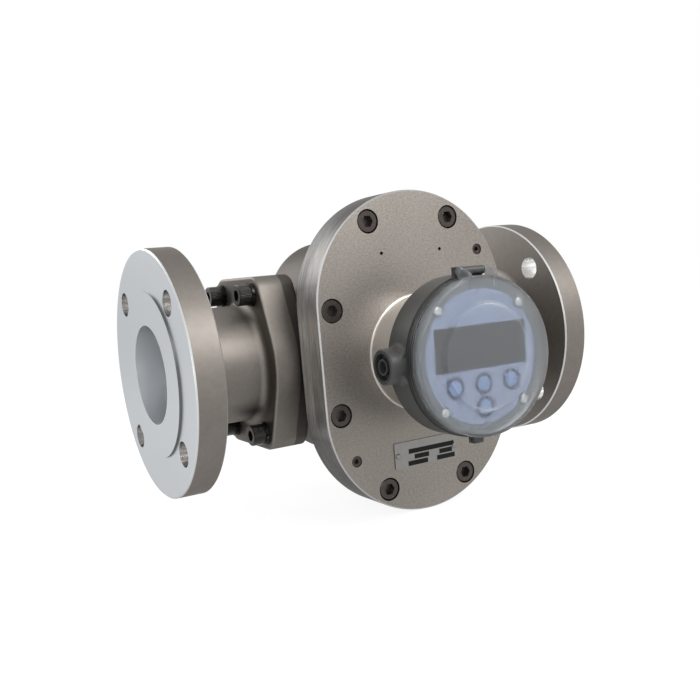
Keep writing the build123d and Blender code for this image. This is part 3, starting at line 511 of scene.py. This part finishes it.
def joinPieces(pieces, name, material):
    bpy.ops.object.select_all(action="DESELECT")
    for piece in pieces:
        piece.select_set(True)
    bpy.context.view_layer.objects.active = pieces[0]
    bpy.ops.object.join()
    joined = bpy.context.object
    joined.name = name
    joined.data.materials.append(material)
    return joined


# blank fields on the data plate: bars of dark enamel, one long row over two rows of two
# each row is its height over the plate's middle and the ends of its bars
fields = {"height": 0.0036, "thickness": 0.00008, "colour": (0.006, 0.0055, 0.005), "roughness": 0.4,
          "shine": 0.15,
          "rows": ((0.0021, ((-0.0165, 0.0255),)),
                   (-0.0025, ((-0.0115, 0.0018), (0.0115, 0.0235))),
                   (-0.0071, ((-0.0175, 0.0005), (0.0090, 0.0258))))}


def plateBar(left, right, rowHeight):
    centre = (plateLow + plateHigh) / 2
    bpy.ops.object.select_all(action="DESELECT")
    bpy.ops.mesh.primitive_cube_add(size=1, location=(centre.x + (left + right) / 2,
                                                      plateLow.y - fields["thickness"] / 2,
                                                      centre.z + rowHeight))
    bar = bpy.context.object
    bar.dimensions = (right - left, fields["thickness"], fields["height"])
    bpy.ops.object.transform_apply(location=True, rotation=True, scale=True)
    return bar


def plateFields():
    bars = [plateBar(left, right, rowHeight) for rowHeight, ends in fields["rows"] for left, right in ends]
    enamel = grainedPlastic("darkEnamel", fields["colour"], fields["roughness"], shine=fields["shine"])
    return joinPieces(bars, "plate_fields", enamel)


plateBars = plateFields()
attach(plateBars, "meter")
print("data plate dressed")


# grub screws that close the cover's two jacking holes, each with a hexagon socket
jack = {"aside": 0.06149, "above": 0.0735, "radius": 0.00422, "length": 0.008, "recess": 0.0008,
        "sides": 48, "socket": 0.0020, "socketSides": 6, "socketDepth": 0.003,
        "bevel": 0.0002, "bevelSegments": 2, "colour": ((0.040, 0.030, 0.028), (0.070, 0.052, 0.048))}


def addCylinder(place, radius, length, sides):
    bpy.ops.object.select_all(action="DESELECT")
    bpy.ops.mesh.primitive_cylinder_add(vertices=sides, radius=radius, depth=length, location=place,
                                        rotation=(math.pi / 2, 0, 0))
    bpy.ops.object.transform_apply(location=True, rotation=True, scale=True)
    return bpy.context.object


def jackScrew(side):
    x = middleX + side * jack["aside"]
    z = side * jack["above"]
    face = coverLow.y + jack["recess"]
    socket = addCylinder((x, face, z), jack["socket"], 2 * jack["socketDepth"], jack["socketSides"])
    screw = addCylinder((x, face + jack["length"] / 2, z), jack["radius"], jack["length"], jack["sides"])
    hollow = screw.modifiers.new("hollow", "BOOLEAN")
    hollow.object = socket
    bpy.ops.object.modifier_apply(modifier="hollow")
    rounded = screw.modifiers.new("rounded", "BEVEL")
    rounded.width = jack["bevel"]
    rounded.segments = jack["bevelSegments"]
    bpy.ops.object.modifier_apply(modifier="rounded")
    bpy.data.objects.remove(socket)
    return screw


jackPair = joinPieces([jackScrew(side) for side in (1, -1)], "jack_screws",
                      blackOxide("brownOxide", *jack["colour"]))
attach(jackPair, "meter")
print("jacking holes closed")


# floor, lamps and camera; the floor glows for the camera, so that it stays pale
studio = {"floorColour": (0.83, 0.83, 0.83), "floorRoughness": 0.9, "floorSize": 14.0, "floorGap": 0.0005,
          "floorGlow": 0.8, "floorGlowStrength": 1.12, "worldStrength": 0.6, "worldSeen": 1.0,
          "aim": (middleX, -0.05, 0)}

# place, size and power of each lamp
lamps = {"keyLight": ((-0.75, -1.15, 0.95), (0.9, 0.9), 6),
         "coverLight": ((0.56, -0.87, 0.68), (0.8, 0.4), 10),
         "leftLight": ((-1.15, -0.5, 0.02), (0.5, 0.5), 2),
         "backLight": ((-0.25, 0.9, 0.55), (0.6, 0.6), 6)}

# the photo's view, as its place and the directions to its right, up and back
view = {"place": (-0.18671, -0.64049, 0.06523), "right": (0.86836, -0.48823, -0.08711),
        "up": (0.13616, 0.06579, 0.98850), "back": (-0.47688, -0.87023, 0.12360),
        "lens": 44.37, "sensor": 36, "shift": (0.0120, 0.0421), "clip": (0.01, 50)}


def seenRay(tree):
    path = addNode(tree, "LightPath")
    seen = calc(tree, "MAXIMUM", path.outputs["Is Camera Ray"], path.outputs["Is Glossy Ray"])
    return calc(tree, "MAXIMUM", seen, path.outputs["Is Transmission Ray"])


def layFloor():
    bpy.ops.object.select_all(action="DESELECT")
    bpy.ops.mesh.primitive_plane_add(size=studio["floorSize"],
                                     location=(middleX, 0, cadLow.z - studio["floorGap"]))
    floor = bpy.context.object
    floor.name = "floor"
    made, tree, surface = shader("floorPaint", studio["floorColour"], 0.0, studio["floorRoughness"])
    glow = addNode(tree, "Emission")
    glow.inputs["Strength"].default_value = studio["floorGlowStrength"]
    both = addNode(tree, "MixShader")
    link(tree, product(tree, seenRay(tree), studio["floorGlow"]), both.inputs[0])
    link(tree, surface.outputs[0], both.inputs[1])
    link(tree, glow.outputs[0], both.inputs[2])
    link(tree, both.outputs[0], tree.nodes["Material Output"].inputs["Surface"])
    floor.data.materials.append(made)


def addSoftbox(name, place, size, power):
    lamp = bpy.data.lights.new(name, "AREA")
    lamp.shape = "RECTANGLE"
    lamp.size, lamp.size_y = size
    lamp.energy = power
    holder = bpy.data.objects.new(name, lamp)
    scene.collection.objects.link(holder)
    holder.location = place
    holder.rotation_mode = "QUATERNION"
    holder.rotation_quaternion = (Vector(studio["aim"]) - Vector(place)).to_track_quat("-Z", "Y")


def lightStudio():
    world = bpy.data.worlds.new("studio")
    scene.world = world
    world.use_nodes = True
    tree = world.node_tree
    background = tree.nodes["Background"]
    background.inputs["Color"].default_value = (1, 1, 1, 1)
    strength = spread(tree, seenRay(tree), 0, 1, studio["worldStrength"], studio["worldSeen"])
    link(tree, strength, background.inputs["Strength"])
    for name, (place, size, power) in lamps.items():
        addSoftbox(name, place, size, power)


def placeCamera():
    camera = bpy.data.cameras.new("camera")
    camera.sensor_width = view["sensor"]
    camera.lens = view["lens"]
    camera.shift_x, camera.shift_y = view["shift"]
    camera.clip_start, camera.clip_end = view["clip"]
    holder = bpy.data.objects.new("camera", camera)
    scene.collection.objects.link(holder)
    turn = Matrix((view["right"], view["up"], view["back"])).transposed().to_4x4()
    holder.matrix_world = Matrix.Translation(view["place"]) @ turn
    scene.camera = holder


layFloor()
lightStudio()
placeCamera()
scene.view_settings.view_transform = "Standard"
print("studio ready")
